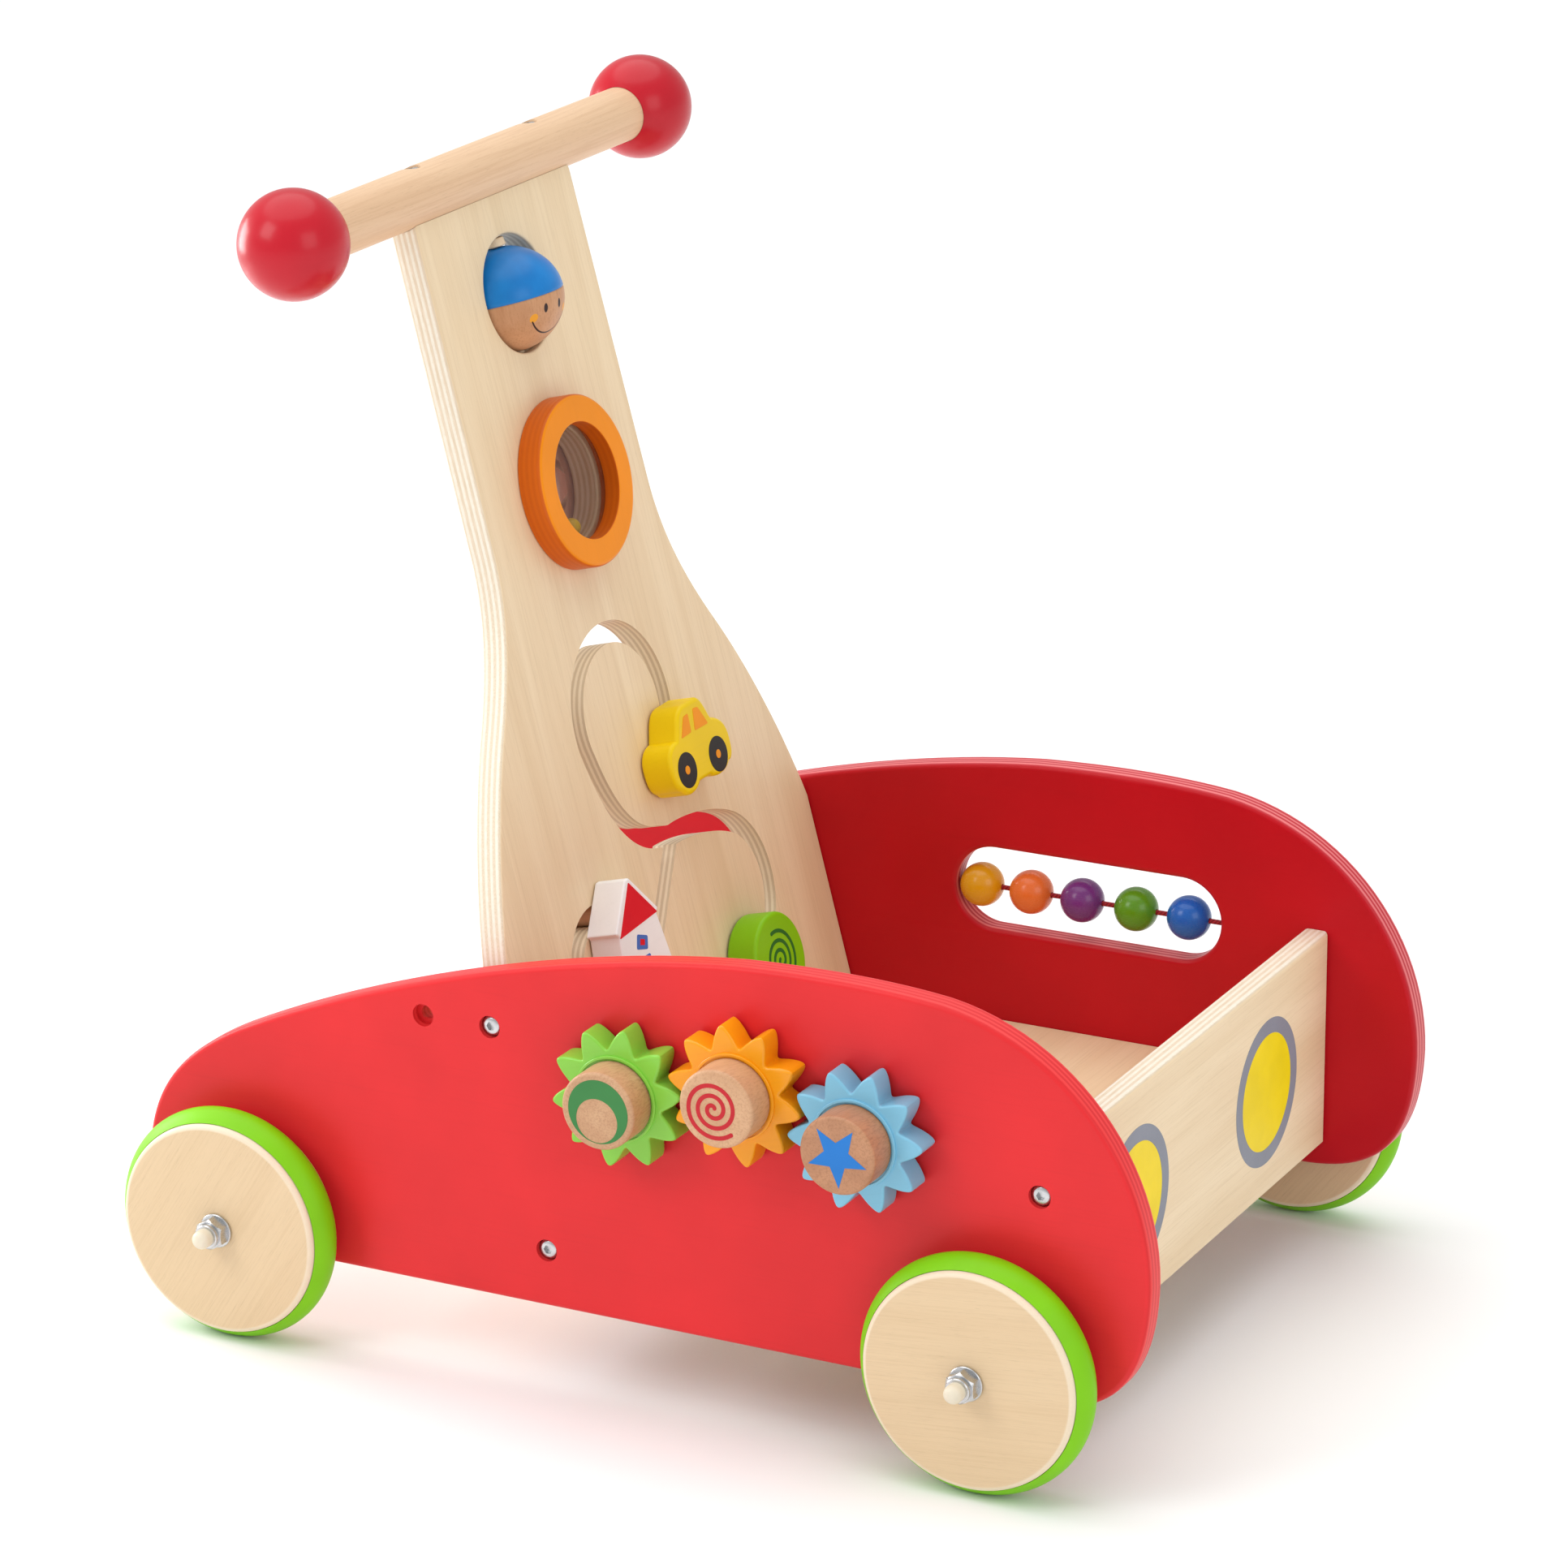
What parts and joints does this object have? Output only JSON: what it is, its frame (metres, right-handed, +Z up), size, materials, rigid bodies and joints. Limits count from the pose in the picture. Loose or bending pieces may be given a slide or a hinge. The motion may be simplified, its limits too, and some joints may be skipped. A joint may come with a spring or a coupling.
{
  "type": "baby walker",
  "caption": "Wooden push walker with a tray, leaning activity post and round push bar, tyred wheels, meshing gears, sliding blocks, a turning head and beads on a cord.",
  "frame": {"origin": "middle of the footprint's bounding box, on the ground under the wheels", "axes": "+X forward, toward the front panel; +Y to the walker's left, the side with the bead slot; -Y the side with the gears; +Z up"},
  "size_m": [0.4627, 0.3712, 0.4903],
  "materials": {
    "red_paint": "satin paint",
    "dark_red_paint": "satin paint",
    "ball_red_paint": "gloss paint",
    "birch_ply": "satin lacquer",
    "beech": "satin lacquer",
    "tyre_green": "satin",
    "gear_green_paint": "satin paint",
    "gear_orange_paint": "satin paint",
    "gear_blue_paint": "satin paint",
    "ring_orange_paint": "satin paint",
    "yellow_paint": "satin paint",
    "white_paint": "satin paint",
    "spiral_green_paint": "satin paint",
    "head_paint": "satin paint over wood",
    "bead_yellow_paint": "gloss paint",
    "bead_orange_paint": "gloss paint",
    "bead_purple_paint": "gloss paint",
    "bead_green_paint": "gloss paint",
    "bead_blue_paint": "gloss paint",
    "steel": "satin",
    "axle_cap": "satin moulded",
    "clear_plastic": "clear gloss",
    "mirror_plastic": "faceted mirror film",
    "cord_red": "braided"
  },
  "bodies": {
    "frame": {"right_side_panel": "red_paint", "left_side_panel": "dark_red_paint", "front_panel": "birch_ply", "floor_board": "birch_ply", "handle_post": "birch_ply", "handle_bar": "beech", "handle_ball_right": "ball_red_paint", "handle_ball_left": "ball_red_paint", "panel_screw_right_upper": "steel", "panel_screw_right_lower": "steel", "panel_screw_right_front": "steel", "bar_screw_right": "steel", "panel_screw_left_upper": "steel", "panel_screw_left_lower": "steel", "panel_screw_left_front": "steel", "bar_screw_left": "steel", "axle_front": "steel", "axle_nut_front_right": "axle_cap", "axle_nut_front_left": "axle_cap", "axle_rear": "steel", "axle_nut_rear_right": "axle_cap", "axle_nut_rear_left": "axle_cap", "gear_pin_green": "steel", "gear_pin_orange": "steel", "gear_pin_blue": "steel", "head_pin": "beech", "ring_front": "ring_orange_paint", "ring_rear": "yellow_paint", "window_front": "clear_plastic", "window_rear": "mirror_plastic", "bead_cord": "cord_red"},
    "wheel_front_right": {"wheel_disc_front_right": "beech", "tyre_front_right": "tyre_green"},
    "wheel_front_left": {"wheel_disc_front_left": "beech", "tyre_front_left": "tyre_green"},
    "wheel_rear_right": {"wheel_disc_rear_right": "beech", "tyre_rear_right": "tyre_green"},
    "wheel_rear_left": {"wheel_disc_rear_left": "beech", "tyre_rear_left": "tyre_green"},
    "gear_green": {"gear_green": "gear_green_paint", "knob_green": "beech"},
    "gear_orange": {"gear_orange": "gear_orange_paint", "knob_orange": "beech"},
    "gear_blue": {"gear_blue": "gear_blue_paint", "knob_blue": "beech"},
    "head": {"head": "head_paint"},
    "rattle_red": {"rattle_bead_red": "ball_red_paint"},
    "rattle_yellow": {"rattle_bead_yellow": "yellow_paint"},
    "peg_car": {"peg_car": "beech"},
    "block_car": {"block_car": "yellow_paint"},
    "peg_house": {"peg_house": "beech"},
    "block_house": {"block_house": "white_paint"},
    "peg_spiral": {"peg_spiral": "beech"},
    "block_spiral": {"block_spiral": "spiral_green_paint"},
    "bead_yellow": {"bead_yellow": "bead_yellow_paint"},
    "bead_orange": {"bead_orange": "bead_orange_paint"},
    "bead_purple": {"bead_purple": "bead_purple_paint"},
    "bead_green": {"bead_green": "bead_green_paint"},
    "bead_blue": {"bead_blue": "bead_blue_paint"}
  },
  "joints": [
    {"name": "wheel_front_right_spin", "type": "hinge", "parent": "frame", "child": "wheel_front_right", "pos_m": [0.16475, -0.1601, 0.0506], "axis": [0, 1, 0], "continuous": true},
    {"name": "wheel_front_left_spin", "type": "hinge", "parent": "frame", "child": "wheel_front_left", "pos_m": [0.16475, 0.1601, 0.0506], "axis": [0, 1, 0], "continuous": true},
    {"name": "wheel_rear_right_spin", "type": "hinge", "parent": "frame", "child": "wheel_rear_right", "pos_m": [-0.18085, -0.1601, 0.0506], "axis": [0, 1, 0], "continuous": true},
    {"name": "wheel_rear_left_spin", "type": "hinge", "parent": "frame", "child": "wheel_rear_left", "pos_m": [-0.18085, 0.1601, 0.0506], "axis": [0, 1, 0], "continuous": true},
    {"name": "gear_green_spin", "type": "hinge", "parent": "frame", "child": "gear_green", "pos_m": [0.00405, -0.1532, 0.1375], "axis": [0, -1, 0], "continuous": true},
    {"name": "gear_orange_spin", "type": "hinge", "parent": "frame", "child": "gear_orange", "pos_m": [0.05727, -0.1532, 0.14775], "axis": [0, -1, 0], "continuous": true},
    {"name": "gear_blue_spin", "type": "hinge", "parent": "frame", "child": "gear_blue", "pos_m": [0.11053, -0.1532, 0.13769], "axis": [0, -1, 0], "continuous": true},
    {"name": "head_spin", "type": "hinge", "parent": "frame", "child": "head", "pos_m": [-0.13052, 0, 0.417], "axis": [-0.2521, 0, 0.9677], "continuous": true},
    {"name": "rattle_red_roll", "type": "hinge", "parent": "frame", "child": "rattle_red", "pos_m": [-0.10875, 0, 0.33741], "axis": [0.9677, 0, 0.2521], "range_deg": [-75, 1]},
    {"name": "rattle_yellow_roll", "type": "hinge", "parent": "frame", "child": "rattle_yellow", "pos_m": [-0.10875, 0, 0.33741], "axis": [0.9677, 0, 0.2521], "range_deg": [-1, 75]},
    {"name": "car_track", "type": "hinge", "parent": "frame", "child": "peg_car", "pos_m": [-0.08426, 0, 0.23942], "axis": [0.9677, 0, 0.2521], "range_deg": [0, 100]},
    {"name": "car_turn", "type": "hinge", "parent": "peg_car", "child": "block_car", "pos_m": [-0.06548, 0.02856, 0.22287], "axis": [0.9677, 0, 0.2521], "continuous": true},
    {"name": "house_track", "type": "hinge", "parent": "frame", "child": "peg_house", "pos_m": [-0.06082, -0.0595, 0.14942], "axis": [0.9677, 0, 0.2521], "range_deg": [0, 190]},
    {"name": "house_turn", "type": "hinge", "parent": "peg_house", "child": "block_house", "pos_m": [-0.05248, -0.05198, 0.17296], "axis": [0.9677, 0, 0.2521], "continuous": true},
    {"name": "spiral_track", "type": "hinge", "parent": "frame", "child": "peg_spiral", "pos_m": [-0.05994, 0.051, 0.14604], "axis": [0.9677, 0, 0.2521], "range_deg": [0, 123]},
    {"name": "spiral_turn", "type": "hinge", "parent": "peg_spiral", "child": "block_spiral", "pos_m": [-0.03833, 0.05212, 0.11862], "axis": [0.9677, 0, 0.2521], "continuous": true},
    {"name": "bead_yellow_slide", "type": "slide", "parent": "frame", "child": "bead_yellow", "axis": [1, 0, 0], "range_m": [0, 0.0022]},
    {"name": "bead_orange_slide", "type": "slide", "parent": "frame", "child": "bead_orange", "axis": [1, 0, 0], "range_m": [-0.0022, 0.0022]},
    {"name": "bead_purple_slide", "type": "slide", "parent": "frame", "child": "bead_purple", "axis": [1, 0, 0], "range_m": [-0.0022, 0.0022]},
    {"name": "bead_green_slide", "type": "slide", "parent": "frame", "child": "bead_green", "axis": [1, 0, 0], "range_m": [-0.0025, 0.0024]},
    {"name": "bead_blue_slide", "type": "slide", "parent": "frame", "child": "bead_blue", "axis": [1, 0, 0], "range_m": [-0.0022, 0.0065]}
  ],
  "couplings": [
    {"joint": "gear_orange_spin", "follows": "gear_green_spin", "ratio": -1},
    {"joint": "gear_blue_spin", "follows": "gear_green_spin", "ratio": 1}
  ]
}
